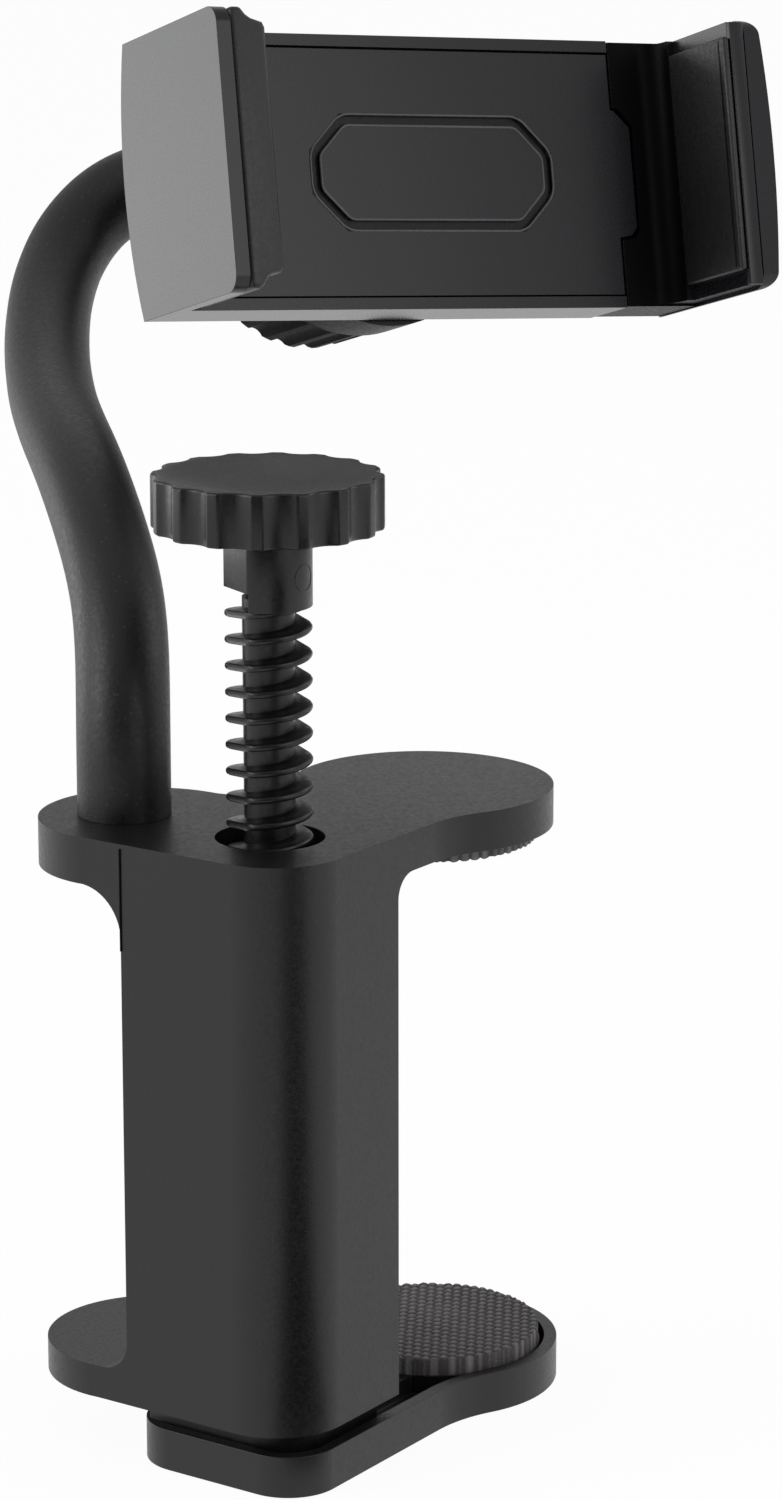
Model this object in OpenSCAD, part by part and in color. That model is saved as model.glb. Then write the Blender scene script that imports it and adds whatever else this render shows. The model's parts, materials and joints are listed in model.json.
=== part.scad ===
// Guitar phone holder: a hand-screw clamp with two jaws, a bendable neck
// and a spring-loaded phone holder on a ball joint.
// Millimetres. The screw's axis is the Z axis, the lower jaw stands on Z = 0,
// the jaws reach along +X and the neck's lug reaches along +Y.

/* [Clamp body] */
// Height of the top plate's upper face
body_top = 101.7; // [98:0.1:112]
// Thickness of the top plate
plate_t = 6.4; // [5.5:0.1:8]
// Height of the column's lower end
column_foot = 9.2; // [9.1:0.1:10]
// Column's size along the jaws
column_l = 28.3; // [27:0.1:32]
// Column's size across the jaws
column_w = 33; // [31:0.1:36]
// Distance from the screw's axis to the column's rear face
column_back = 17; // [16.5:0.1:18]
// Large corner radius of the column, on the side the hand meets
column_corner = 11.8; // [9:0.1:13]
// Wall thickness of the column
column_wall = 3; // [2.6:0.1:3.6]
// Radius of the rounded lug that carries the neck
lug_r = 17.1; // [15.5:0.1:19]
// Distance from the screw's axis to the lug's centre
lug_y = 24.3; // [23:0.1:27]
// Thickness of the lug at the top
lug_t = 7.5; // [7:0.1:9]
// Thickness of the lug at the column's foot
foot_lug_t = 5.4; // [4:0.1:7]
// Radius of the hollow corner below the upper lug
lug_fillet = 8; // [5:0.5:10]
// Hole in the top plate round the screw
plate_hole_d = 17.3; // [15.5:0.1:19]

/* [Jaws] */
// Radius of the round end of the upper jaw
top_lobe_r = 21.4; // [20.5:0.1:24]
// Reach from the screw's axis to the upper jaw's round end
top_reach = 41.4; // [39:0.1:48]
// Radius of the round end of the lower jaw
low_lobe_r = 21; // [20.4:0.1:24]
// How much further the lower jaw reaches than the upper one
low_more = 0.8; // [0:0.1:2]
// Height of the lower jaw's rim
rim_h = 6.8; // [6:0.1:7.5]
// Wall thickness of the lower jaw's rim
rim_t = 2.1; // [1.6:0.1:2.4]
// Floor thickness of the lower jaw
floor_t = 3; // [2:0.1:4]
// Top of the stem that slides inside the column
stem_top = 66; // [62:0.5:68]
// Radius of the soft jaw pads
pad_r = 18; // [15:0.1:18.2]
// Thickness of the soft jaw pads
pad_t = 3; // [2:0.1:3.6]

/* [Screw] */
// Radius of the hand knob
knob_r = 18; // [15:0.1:22]
// Height of the hand knob
knob_h = 8.6; // [6:0.1:12]
// Height of the knob's upper face
knob_top = 159.2; // [156:0.1:165]
// Depth of the dish in the knob's upper face
dish_d = 2.3; // [1:0.1:3]
// Width of the rim round the dish
dish_rim = 2.2; // [1.6:0.1:4]
// Count of the grip ribs round the knob
knob_ribs = 16; // [10:1:20]
// Depth of the hollows between the grip ribs
rib_depth = 0.9; // [0.5:0.1:1.4]
// Diameter of the plain shank below the knob
shank_d = 13.8; // [12:0.1:14]
// Length of the plain shank
shank_l = 12; // [8:0.1:14]
// Outer diameter of the moulded thread
thread_d = 13.6; // [12.5:0.1:14]
// Core diameter of the moulded thread
core_d = 8.2; // [7.5:0.1:9]
// Rise of the thread in one turn
thread_pitch = 4.18; // [3.5:0.02:5]
// Width of the thread's crest
crest_t = 1; // [0.8:0.1:1.3]
// Width of the thread's foot
root_t = 1.9; // [1.5:0.1:2.4]
// Height of the hidden thread nut
nut_h = 16; // [12:0.5:18]

/* [Neck] */
// Outer radius of the neck's sleeve at the clamp
neck_r = 7.5; // [6.5:0.05:8]
// Outer radius of the neck's sleeve at the holder
neck_top_r = 7.4; // [6.4:0.05:7.8]
// Wall thickness of the neck's sleeve
sleeve_t = 1.2; // [0.8:0.1:1.6]
// Where the neck stands on the lug
neck_x = -1.3; // [-4:0.1:4]
// Where the neck stands on the lug, across
neck_y = 27.6; // [25:0.1:30]
// Height of the straight run at the neck's foot
neck_rise = 16.3; // [12:0.1:22]
// Bends of the neck's route, from the foot to the ball
bend_1 = [7.8, 34.5, 133.5];
bend_2 = [18.7, 47.7, 143.7];
bend_3 = [33.3, 64, 150.7];
bend_4 = [51.7, 83.4, 153.7];
bend_5 = [73.2, 102.1, 162.1];
bend_6 = [91.1, 112.7, 172.9];
bend_7 = [101.7, 108.8, 183.6];
bend_8 = [110.3, 97.8, 186.7];
// How far the ball's shank leans up in the nut
shank_lean = 22; // [16:0.5:24]
// Length from the ball's centre to the neck's end
neck_end_gap = 22; // [21:0.1:24]
// Radius of the ball
ball_r = 13; // [11:0.1:14]
// Radius of the ball's shank
ball_shank_r = 4.5; // [3.5:0.1:5]

/* [Phone holder] */
// Corner of the holder below the fixed jaw, along X
holder_x = 42.1; // [40:0.1:45]
// Corner of the holder below the fixed jaw, along Y
holder_y = 54.8; // [52:0.1:57]
// Corner of the holder below the fixed jaw, along Z
holder_z = 172.5; // [170:0.1:175]
// How far the holder's face leans back
holder_lean = 16.2; // [10:0.1:22]
// How far the holder is rolled
holder_roll = 4; // [0:0.1:8]
// How far the holder's face is turned
holder_turn = -25.8; // [-30:0.1:-20]
// Height of the holder's jaws
holder_h = 46.4; // [44:0.1:50]
// Length of the fixed body, up to the sliding jaw
body_l = 87.4; // [84:0.1:92]
// Depth of the body from its rear edges to its face
body_d = 10.3; // [9.6:0.1:12]
// Where the ball joint sits along the holder
joint_x = 48; // [44:0.1:52]
// How far the rear of the body bulges
body_crown = 5; // [4:0.1:6]
// Where the bulge starts at the rear edges
rear_edge = 1.7; // [1:0.1:2.5]
// Depth of both jaws from the rear edges to their tips
jaw_d = 31.8; // [27:0.1:36]
// Wall thickness of the fixed jaw
fixed_wall = 2.6; // [2.2:0.1:3.2]
// Thickness of the fixed jaw's soft pad
fixed_pad_t = 6.3; // [4:0.1:7]
// Length of the sliding jaw's base, from the body to its soft pad
slide_base_l = 9.9; // [9:0.1:12]
// Thickness of the sliding jaw's soft pad
slide_pad_t = 1.4; // [1:0.1:2]
// Thickness of the sliding jaw's inner frame with its pad
slide_frame_t = 4.2; // [3.6:0.1:5]
// Thickness of the sliding jaw's outer cover
slide_cover_t = 4.1; // [3.4:0.1:5]
// Radius of the bulge of the cover's outer face
cover_bulge_r = 208; // [160:1:300]
// Rounding of the cover's outer edges
cover_edge_r = 3; // [1.5:0.1:3]
// Radius of the hollow corner between the sliding jaw's base and wall
jaw_fillet = 4; // [2:0.1:4.2]
// Rounding of the jaws' tips
tip_r = 3; // [1.5:0.1:4]
// Width of the eight-sided groove on the face
groove_w = 1.8; // [1:0.1:2.5]
// Depth of the eight-sided groove
groove_d = 0.8; // [0.4:0.1:1.2]
// Length of the eight-sided field
field_l = 47.2; // [40:0.1:54]
// Height of the eight-sided field
field_h = 19.7; // [16:0.1:24]
// Radius of the ribbed ball nut
ball_nut_r = 20.4; // [19.6:0.1:21]
// Length of the ribbed ball nut
ball_nut_l = 19.8; // [19:0.1:20.5]
// Count of the ribs round the ball nut
ball_nut_ribs = 27; // [18:1:30]

/* [Hidden] */
$fn = 48;
gap = 0.3;

// Reach of the lower jaw and place of the sliding jaw
low_reach = top_reach + low_more;
slide_face = body_l + slide_base_l;

// Column faces
col_x0 = -column_back;
col_x1 = column_l - column_back;
col_y0 = -column_w / 2;
col_y1 = column_w / 2;
plate_under = body_top - plate_t;
lug_under = body_top - lug_t;

// Screw heights
knob_under = knob_top - knob_h;
dish_r = (pow(knob_r - dish_rim, 2) + pow(dish_d, 2)) / (2 * dish_d);
shank_foot = knob_under - shank_l;
thread_foot = stem_top + gap;
cap_t = 8;
journal_r = 4;
washer_t = 1.5;
travel = knob_under - body_top - 0.9;
thread_phase = 286.9;
flat_dir = 156;
flat_at = 5.75;
flat_w = 7;
rib_turn = 8.5;
nut_screw_x = [-10.6, 5];
nut_top = min(plate_under, shank_foot - travel - 0.6);
nut_screw_z = nut_top - 9;
nut_head_t = 1.2;

// Ball joint, in the holder's own frame
field_x = body_l - 36.4;
joint_y = 20;
nut_rear = -34.3;
nut_front = nut_rear + ball_nut_l;
ball_n = -23;
collar_r = 20.9;
boss_r = 16.4;
seat_r = ball_r + 2.6;

// Inside of the holder
room_n = 0.9;
case_screw_at = [for (x = [12, body_l - 7.4]) for (y = [7.5, holder_h - 7.5]) [x, y]];
rail_w = 8;
rail_y = [12, holder_h - 12 - rail_w];
rail_start = body_l - 41.4;
rail_n = 1.6;
rail_t = 3.2;
guide_x = body_l - 19.4;
guide_l = 17;
post_x = fixed_wall + 4.4;
cover_screw_r = 1.22;
cover_screw_n = jaw_d - 9.8;
cover_screw_y = [10, holder_h - 10];

// Neck route
neck_start = [neck_x, neck_y, body_top + 0.05];
ball_c = holder_point([joint_x, joint_y, ball_n]);
ball_dir = unit(holder_point([0, sin(shank_lean), -cos(shank_lean)]) - holder_point([0, 0, 0]));
neck_in = ball_c + neck_end_gap * ball_dir;
neck_line = [neck_start, neck_start, neck_start, neck_start + [0, 0, neck_rise],
  bend_1, bend_2, bend_3, bend_4, bend_5, bend_6, bend_7, bend_8,
  neck_in + 8 * ball_dir, neck_in, neck_in, neck_in];
neck_steps = 4;
neck_ref = unit([1, 0, -1]);
neck_points = [for (i = [0 : len(neck_line) - 4]) for (s = [0 : neck_steps - 1])
  spline_point(neck_line, i, s / neck_steps)];
neck_path = concat([neck_start], [for (i = [5 : len(neck_points) - 4]) neck_points[i]],
  [neck_in]);
neck_first = 0;
neck_last = len(neck_path) - 1;
neck_count = neck_last - neck_first;

function unit(v) = v / norm(v);
function spline_point(p, i, w) =
  (pow(1 - w, 3) * p[i]
  + (3 * pow(w, 3) - 6 * w * w + 4) * p[i + 1]
  + (-3 * pow(w, 3) + 3 * w * w + 3 * w + 1) * p[i + 2]
  + pow(w, 3) * p[i + 3]) / 6;
function turn_x(v, a) = [v[0], v[1] * cos(a) - v[2] * sin(a), v[1] * sin(a) + v[2] * cos(a)];
function turn_y(v, a) = [v[0] * cos(a) + v[2] * sin(a), v[1], -v[0] * sin(a) + v[2] * cos(a)];
function turn_z(v, a) = [v[0] * cos(a) - v[1] * sin(a), v[0] * sin(a) + v[1] * cos(a), v[2]];
function holder_point(v) = [holder_x, holder_y, holder_z]
  + turn_z(turn_y(turn_x(v, 90 - holder_lean), holder_roll), holder_turn);

// Column outline, drawn in by the given amount
module column_shape(inset, h) {
  r = column_corner - inset;
  difference() {
    translate([col_x0 + inset, col_y0 + inset, 0])
      cube([column_l - 2 * inset, column_w - 2 * inset, h]);
    translate([col_x0 + inset, col_y0 + inset, -1])
      difference() {
        translate([-1, -1, 0])
          cube([r + 1, r + 1, h + 2]);
        translate([r, r, -1])
          cylinder(r = r, h = h + 4, $fn = 64);
      }
  }
}

// Hollow corner between a straight side and a round end, lying on one side
module side_blend(reach, lobe_y, lobe_r, side_y, r, h) {
  s = side_y < lobe_y ? -1 : 1;
  d = abs(side_y - lobe_y);
  dx = sqrt(pow(lobe_r + r, 2) - pow(d + r, 2));
  cx = reach - dx;
  cy = side_y + s * r;
  k = lobe_r / (lobe_r + r);
  tx = reach + (cx - reach) * k;
  ty = lobe_y + (cy - lobe_y) * k;
  difference() {
    linear_extrude(h)
      polygon([[cx, side_y], [tx, ty], [reach, lobe_y], [cx, lobe_y]]);
    translate([cx, cy, -1])
      cylinder(r = r, h = h + 2, $fn = 96);
  }
}

// Rounded lug with straight sides, for the neck
module lug_shape(h) {
  translate([0, lug_y, 0])
    cylinder(r = lug_r, h = h, $fn = 96);
  translate([col_x0, col_y1 - 6, 0])
    cube([column_back + lug_r, lug_y - col_y1 + 6, h]);
}

module clamp_body() {
  color([0.1, 0.1, 0.1])
    difference() {
      union() {
        translate([0, 0, column_foot])
          column_shape(0, body_top - column_foot);
        // Top plate, with its lug and its jaw
        translate([0, 0, plate_under]) {
          translate([top_reach, -0.4, 0])
            cylinder(r = top_lobe_r, h = plate_t, $fn = 96);
          translate([0, col_y0, 0])
            cube([top_reach, column_w + 1, plate_t]);
          side_blend(top_reach, -0.4, top_lobe_r, col_y0, 20, plate_t);
          side_blend(top_reach, -0.4, top_lobe_r, col_y1 + 1, 20, plate_t);
          difference() {
            translate([lug_r - 1, col_y1, 0])
              cube([7, 7, plate_t]);
            translate([lug_r + 6, col_y1 + 7, -1])
              cylinder(r = 6, h = plate_t + 2);
          }
        }
        translate([0, 0, lug_under])
          lug_shape(lug_t);
        translate([0, 0, column_foot])
          lug_shape(foot_lug_t);
        // Hollow corners below the plate and above the foot
        difference() {
          translate([col_x0, col_y1 - 1, lug_under - lug_fillet])
            cube([column_l, lug_fillet + 1, lug_fillet + 1]);
          translate([col_x0 - 1, col_y1 + lug_fillet, lug_under - lug_fillet])
            rotate([0, 90, 0])
              cylinder(r = lug_fillet, h = column_l + 2);
        }
        difference() {
          translate([col_x0, col_y1 - 1, column_foot + foot_lug_t - 1])
            cube([column_l, 6, 6]);
          translate([col_x0 - 1, col_y1 + 5, column_foot + foot_lug_t + 5])
            rotate([0, 90, 0])
              cylinder(r = 5, h = column_l + 2);
        }
        difference() {
          translate([col_x1 - 1, col_y0, plate_under - 4])
            cube([5, column_w, 5]);
          translate([col_x1 + 4, col_y0 - 1, plate_under - 4])
            rotate([-90, 0, 0])
              cylinder(r = 4, h = column_w + 2);
        }
      }
      // Square channel for the stem and the thread nut
      translate([0, 0, column_foot - 1])
        column_shape(column_wall, plate_under - column_foot + 1);
      // Screw hole, neck hole and the two nut screw holes
      translate([0, 0, plate_under - 1])
        cylinder(d = plate_hole_d, h = plate_t + 2);
      translate([neck_x, neck_y, lug_under - 1])
        cylinder(r = 4.1, h = lug_t + 2);
      translate([neck_x, neck_y, lug_under - 1])
        cylinder(r = 8.2, h = 2.6);
      for (x = nut_screw_x)
        translate([x, col_y1 + 1, nut_screw_z])
          rotate([90, 0, 0]) {
            cylinder(r = 2.2, h = column_wall + 2);
            cylinder(r = 4.2, h = 2.4);
          }
      // Shallow seat for the upper pad
      translate([top_reach + 0.4, -0.9, plate_under - 1])
        cylinder(r = pad_r + gap, h = 1 + pad_t - 2.4, $fn = 96);
    }
}

module upper_pad() {
  color([0.16, 0.14, 0.12])
    translate([top_reach + 0.4, -0.9, plate_under - 2.4])
      cylinder(r = pad_r, h = pad_t, $fn = 96);
}

// One helical ridge; the turns start at z0 and are flattened on two sides
module helix_ridge(z0, turns, r_in, r_out, half_in, half_out, seg, flat, flat_a) {
  n = floor(turns * seg);
  pts = [for (i = [0 : n])
    let (a = 360 * i / seg, z = z0 + thread_pitch * i / seg, r = min(r_out, flat / abs(cos(a - flat_a))))
      for (q = [[r_in, -half_in], [r, -half_out], [r, half_out], [r_in, half_in]])
        [q[0] * cos(a), q[0] * sin(a), z + q[1]]];
  faces = concat(
    [[3, 2, 1, 0]],
    [for (i = [0 : n - 1]) for (k = [0 : 3])
      [4 * i + (k + 1) % 4, 4 * i + 4 + (k + 1) % 4, 4 * i + 4 + k, 4 * i + k]],
    [[4 * n, 4 * n + 1, 4 * n + 2, 4 * n + 3]]);
  polyhedron(points = pts, faces = faces, convexity = 12);
}

module thread_nut() {
  color([0.75, 0.75, 0.72])
    difference() {
      translate([0, 0, nut_top - nut_h])
        column_shape(column_wall + gap, nut_h);
      translate([0, 0, nut_top - nut_h - 1])
        cylinder(d = core_d + 0.7, h = nut_h + 2);
      rotate([0, 0, thread_phase])
        helix_ridge(thread_foot + root_t + thread_pitch, 8, core_d / 2 - 0.3,
          thread_d / 2 + 0.3, root_t / 2 + 0.35, crest_t / 2 + 0.35, 24, 20, 0);
      for (x = nut_screw_x)
        translate([x, col_y1, nut_screw_z])
          rotate([90, 0, 0])
            cylinder(r = 2.05, h = 9);
    }
}

// Two short screws hold the nut from the column's outer side
module nut_screws() {
  color([0.6, 0.6, 0.6])
    for (x = nut_screw_x)
      translate([x, col_y1 - 0.1, nut_screw_z])
        rotate([90, 0, 0])
          difference() {
            union() {
              cylinder(r = 3.9, h = nut_head_t);
              cylinder(r = 2, h = 8.2);
            }
            for (a = [0, 90])
              rotate([0, 0, a])
                translate([-2.2, -0.35, -1])
                  cube([4.4, 0.7, 1.9]);
          }
}

// Hand knob and coarse screw, moulded in one piece
module clamp_screw() {
  color([0.1, 0.1, 0.1])
    union() {
      difference() {
        rotate_extrude($fn = 96)
          polygon([[0, knob_top], [knob_r - 1.5, knob_top], [knob_r - 0.5, knob_top - 0.3],
            [knob_r, knob_top - 1.1], [knob_r, knob_under + 0.5], [knob_r - 0.5, knob_under],
            [0, knob_under]]);
        translate([0, 0, knob_top - dish_d + dish_r])
          sphere(r = dish_r, $fn = 96);
        for (i = [0 : knob_ribs - 1])
          rotate([0, 0, 360 * (i + 0.5) / knob_ribs + rib_turn])
            translate([knob_r - rib_depth + 4.35, 0, knob_under - 1])
              cylinder(r = 4.35, h = knob_h + 2, $fn = 24);
      }
      translate([0, 0, shank_foot])
        flat_shank();
      translate([0, 0, thread_foot])
        cylinder(d = core_d, h = shank_foot - thread_foot + 4.6);
      rotate([0, 0, thread_phase])
        helix_ridge(thread_foot + root_t, (shank_foot - thread_foot - root_t) / thread_pitch,
          core_d / 2 - 0.3, thread_d / 2, root_t / 2, crest_t / 2, 24, flat_at,
          flat_dir - thread_phase);
      // Plain foot, bored for the retaining screw
      difference() {
        translate([0, 0, stem_top - cap_t - gap])
          cylinder(r = journal_r, h = cap_t + 2 * gap + 1);
        translate([0, 0, stem_top - cap_t - gap - 1])
          cylinder(r = 2.05, h = 9.5);
      }
    }
}

// Plain shank with the mould's two flats, their relief below, and a small round mark
module flat_shank() {
  difference() {
    rotate([0, 0, flat_dir])
      difference() {
        cylinder(d = shank_d, h = shank_l + 1);
        for (s = [0, 180])
          rotate([0, 0, s]) {
            translate([flat_at, -10, -1])
              cube([10, 20, shank_l + 3]);
            translate([core_d / 2 - 0.2, -flat_w / 2, -1])
              cube([10, flat_w, 4.2]);
          }
      }
    translate([0.3, -shank_d / 2 + 0.3, shank_l - 6.1])
      rotate([90, 0, 0])
        cylinder(r = 1, h = 2);
  }
}

module lower_jaw() {
  color([0.1, 0.1, 0.1])
    difference() {
      union() {
        jaw_outline(0, rim_h);
        // Plinth below the column, and the stem
        translate([0, 0, floor_t])
          column_shape(2.5, column_foot - gap - floor_t);
        translate([0, 0, floor_t])
          column_shape(column_wall + gap, stem_top - floor_t);
      }
      // Pocket inside the rim, round the plinth and the pad's seat
      difference() {
        translate([0, 0, floor_t])
          jaw_outline(rim_t, rim_h);
        translate([0, 0, floor_t - 1])
          column_shape(2.5, stem_top);
        translate([low_reach, -1.7, floor_t - 1])
          cylinder(r = pad_r + 0.2, h = column_foot - pad_t - floor_t + 1, $fn = 96);
        for (y = [-8, 8])
          translate([0, y - 1, floor_t - 1])
            cube([low_reach, 2, column_foot - pad_t - floor_t + 1]);
      }
      // Hollow of the stem, open below, and the journal's bore
      translate([0, 0, -1])
        column_shape(column_wall + gap + 2.6, stem_top - cap_t + 1);
      cylinder(r = journal_r + 0.1, h = stem_top + 1);
    }
}

// Plan of the lower jaw, drawn in by the given amount
module jaw_outline(inset, h) {
  x0 = -17.1 + inset;
  y0 = -17.6 + inset;
  y1 = 17 - inset;
  r = 8.5 - inset;
  translate([low_reach, -1.7, 0])
    cylinder(r = low_lobe_r - inset, h = h, $fn = 96);
  translate([x0 + r, y0, 0])
    cube([low_reach - x0 - r, y1 - y0, h]);
  translate([x0, y0 + r, 0])
    cube([r + 1, y1 - y0 - 2 * r, h]);
  for (y = [y0 + r, y1 - r])
    translate([x0 + r, y, 0])
      cylinder(r = r, h = h, $fn = 64);
  side_blend(low_reach, -1.7, low_lobe_r - inset, y0, 24 + inset, h);
  side_blend(low_reach, -1.7, low_lobe_r - inset, y1, 24 + inset, h);
}

module lower_pad() {
  color([0.3, 0.27, 0.24])
    translate([low_reach, -1.7, column_foot - pad_t])
      cylinder(r = pad_r, h = pad_t, $fn = 96);
}

// Washer and screw that hold the stem on the screw's foot
module retainer_washer() {
  color([0.7, 0.7, 0.7])
    translate([0, 0, stem_top - cap_t - gap - washer_t])
      difference() {
        cylinder(r = journal_r + 1, h = washer_t);
        translate([0, 0, -1])
          cylinder(r = 2.2, h = washer_t + 2);
      }
}

module retainer_screw() {
  color([0.6, 0.6, 0.6])
    translate([0, 0, stem_top - cap_t - gap - washer_t])
      difference() {
        union() {
          translate([0, 0, -2.4])
            cylinder(r = 3.8, h = 2.4);
          translate([0, 0, -1])
            cylinder(r = 2, h = washer_t + 9);
        }
        for (a = [0, 90])
          rotate([0, 0, a])
            translate([-2.2, -0.4, -3])
              cube([4.4, 0.8, 2]);
      }
}

// Steel plug that anchors the neck on the lug
module neck_base_ferrule() {
  color([0.7, 0.7, 0.7])
    translate([neck_x, neck_y, lug_under + 1.6]) {
      difference() {
        union() {
          cylinder(r = 4, h = lug_t - 1);
          translate([0, 0, lug_t - 1.6])
            cylinder(r = 6, h = 4.6);
        }
        translate([0, 0, -1])
          cylinder(r = 2.1, h = 9);
      }
    }
}

module neck_base_washer() {
  color([0.7, 0.7, 0.7])
    translate([neck_x, neck_y, lug_under + 0.1])
      difference() {
        cylinder(r = 7.9, h = 1.5);
        translate([0, 0, -1])
          cylinder(r = 2.2, h = 4);
      }
}

module neck_base_screw() {
  color([0.6, 0.6, 0.6])
    translate([neck_x, neck_y, lug_under + 0.1])
      difference() {
        union() {
          translate([0, 0, -2.2])
            cylinder(r = 3.6, h = 2.2);
          translate([0, 0, -1])
            cylinder(r = 2, h = 9);
        }
        for (a = [0, 90])
          rotate([0, 0, a])
            translate([-2.1, -0.4, -3])
              cube([4.2, 0.8, 1.8]);
      }
}

// Tube along the neck's route, from step a to step b
module neck_tube(a, b, r_out, r_in, sides) {
  n = b - a;
  m = len(neck_path) - 1;
  pts = [for (j = [a : b])
    let (p = neck_path[j],
      t = unit(neck_path[min(m, j + 1)] - neck_path[max(0, j - 1)]),
      side = unit(cross(neck_ref, t)),
      up = cross(t, side))
      for (q = [r_out[j - a], r_in[j - a]])
        for (k = [0 : sides - 1])
          p + q * cos(360 * k / sides) * side + q * sin(360 * k / sides) * up];
  w = 2 * sides;
  faces = concat(
    [for (k = [0 : sides - 1])
      [k, (k + 1) % sides, sides + (k + 1) % sides, sides + k]],
    [for (i = [0 : n - 1]) for (k = [0 : sides - 1])
      [w * i + k, w * (i + 1) + k, w * (i + 1) + (k + 1) % sides, w * i + (k + 1) % sides]],
    [for (i = [0 : n - 1]) for (k = [0 : sides - 1])
      [w * i + sides + k, w * i + sides + (k + 1) % sides,
        w * (i + 1) + sides + (k + 1) % sides, w * (i + 1) + sides + k]],
    [for (k = [0 : sides - 1])
      [w * n + k, w * n + sides + k, w * n + sides + (k + 1) % sides, w * n + (k + 1) % sides]]);
  polyhedron(points = pts, faces = faces, convexity = 12);
}

// Wound steel core of the neck, drawn as rings
module neck_core() {
  color([0.55, 0.55, 0.55])
    neck_tube(neck_first + 1, neck_last - 1,
      [for (i = [0 : neck_count - 2]) neck_r - sleeve_t - (i % 2 == 0 ? 0.3 : 0.9)],
      [for (i = [0 : neck_count - 2]) 3.2], 10);
}

module neck_sleeve() {
  color([0.12, 0.12, 0.12])
    neck_tube(neck_first, neck_last,
      [for (i = [0 : neck_count]) neck_r + (neck_top_r - neck_r) * i / neck_count],
      [for (i = [0 : neck_count]) neck_r - sleeve_t], 24);
}

// Places a piece on the ball's shank; +Z points away from the ball
module on_shank() {
  a = atan2(ball_dir[1], ball_dir[0]);
  b = acos(ball_dir[2]);
  translate(ball_c)
    rotate([0, b, a])
      children();
}

module neck_top_ferrule() {
  color([0.7, 0.7, 0.7])
    on_shank()
      translate([0, 0, neck_end_gap - 3.2])
        difference() {
          cylinder(r = neck_top_r, h = 2.9);
          translate([0, 0, -1])
            cylinder(r = 2.6, h = 5);
        }
}

module ball_stud() {
  color([0.2, 0.2, 0.2])
    on_shank()
      union() {
        sphere(r = ball_r, $fn = 64);
        cylinder(r = ball_shank_r, h = neck_end_gap - 3.3);
        cylinder(r = 2.5, h = neck_end_gap + 2);
      }
}

// Places a piece in the holder's own frame: X along the face, Y up, Z out
module in_holder() {
  translate([holder_x, holder_y, holder_z])
    rotate([90 - holder_lean, holder_roll, holder_turn])
      children();
}

module on_joint(z) {
  translate([joint_x, joint_y, z])
    children();
}

// Plastic ring that grips the ball inside the nut
module seat_ring() {
  color([0.8, 0.8, 0.78])
    in_holder()
      on_joint(ball_n)
        difference() {
          rotate_extrude($fn = 64)
            polygon([[5, 0.2], [seat_r, 0.2], [seat_r, -2.2], [seat_r - 3.4, -8.8], [5, -8.8]]);
          sphere(r = ball_r + 0.06, $fn = 64);
        }
}

module ball_nut() {
  color([0.1, 0.1, 0.1])
    in_holder()
      on_joint(nut_rear)
        difference() {
          rotate_extrude($fn = 108)
            polygon([[0, 0], [ball_nut_r - 1.6, 0], [ball_nut_r - 0.4, 0.5], [ball_nut_r, 1.6],
              [ball_nut_r, ball_nut_l - 0.8], [ball_nut_r - 0.8, ball_nut_l - 0.1], [0, ball_nut_l - 0.1]]);
          rotate_extrude($fn = 64)
            polygon([[0, -1], [ball_r - 1.2, -1], [ball_r - 2, 0.6], [ball_r - 2, 2.2], [seat_r - 3.2, 2.4],
              [seat_r + 0.3, 9.1], [seat_r + 0.3, 11.2],
              [boss_r + 0.3, 12], [boss_r + 0.3, ball_nut_l + 1], [0, ball_nut_l + 1]]);
          for (i = [0 : ball_nut_ribs - 1])
            rotate([0, 0, 360 * i / ball_nut_ribs])
              translate([ball_nut_r + 0.8, 0, -1])
                cylinder(r = 1.9, h = ball_nut_l - 1, $fn = 16);
        }
}

// Body outline seen from the side, with the bulged rear
module body_profile(inset, len, front) {
  s = body_crown - rear_edge;
  r = (pow(holder_h / 2, 2) + pow(s, 2)) / (2 * s);
  intersection() {
    translate([0, inset, -body_crown - 1])
      cube([len, holder_h - 2 * inset, front + body_crown + 1]);
    translate([-1, holder_h / 2, r - body_crown + inset])
      rotate([0, 90, 0])
        cylinder(r = r, h = len + 2, $fn = 180);
  }
}

module holder_back() {
  color([0.14, 0.14, 0.15])
    in_holder()
      union() {
        difference() {
          union() {
            body_profile(0, body_l, body_d);
            // Fixed jaw's outer wall
            translate([0, 0, body_d - 1])
              jaw_wall(fixed_wall, jaw_d - body_d + 1);
            // Collar and threaded boss of the ball joint
            on_joint(nut_front + gap)
              cylinder(r = collar_r, h = -nut_front - 3.3, $fn = 96);
            on_joint(nut_front - 6.5)
              cylinder(r = boss_r, h = 8, $fn = 64);
          }
          // Room for the slide, open at the right
          translate([fixed_wall + 1, 3.4, room_n])
            cube([body_l, holder_h - 6.8, body_d]);
          // Seat of the front cover
          translate([fixed_wall + 0.1, 2, body_d - 2.6])
            cube([body_l, holder_h - 4, 6]);
          // Ball socket
          on_joint(ball_n)
            sphere(r = ball_r + 0.1, $fn = 64);
          for (p = case_screw_at)
            translate([p[0], p[1], -8]) {
              cylinder(r = 1.6, h = 12);
              cylinder(r = 2.9, h = 6.8);
            }
        }
        // Post for the spring, and ledges below the guide plate
        translate([post_x - 1.6, holder_h / 2 - 2, room_n - 0.2])
          cube([3.2, 4, 5]);
        for (y = [3.2, holder_h - 4.8])
          translate([guide_x, y, room_n - 0.2])
            cube([guide_l, 1.6, rail_n + rail_t + gap - room_n + 0.2]);
      }
}

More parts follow.
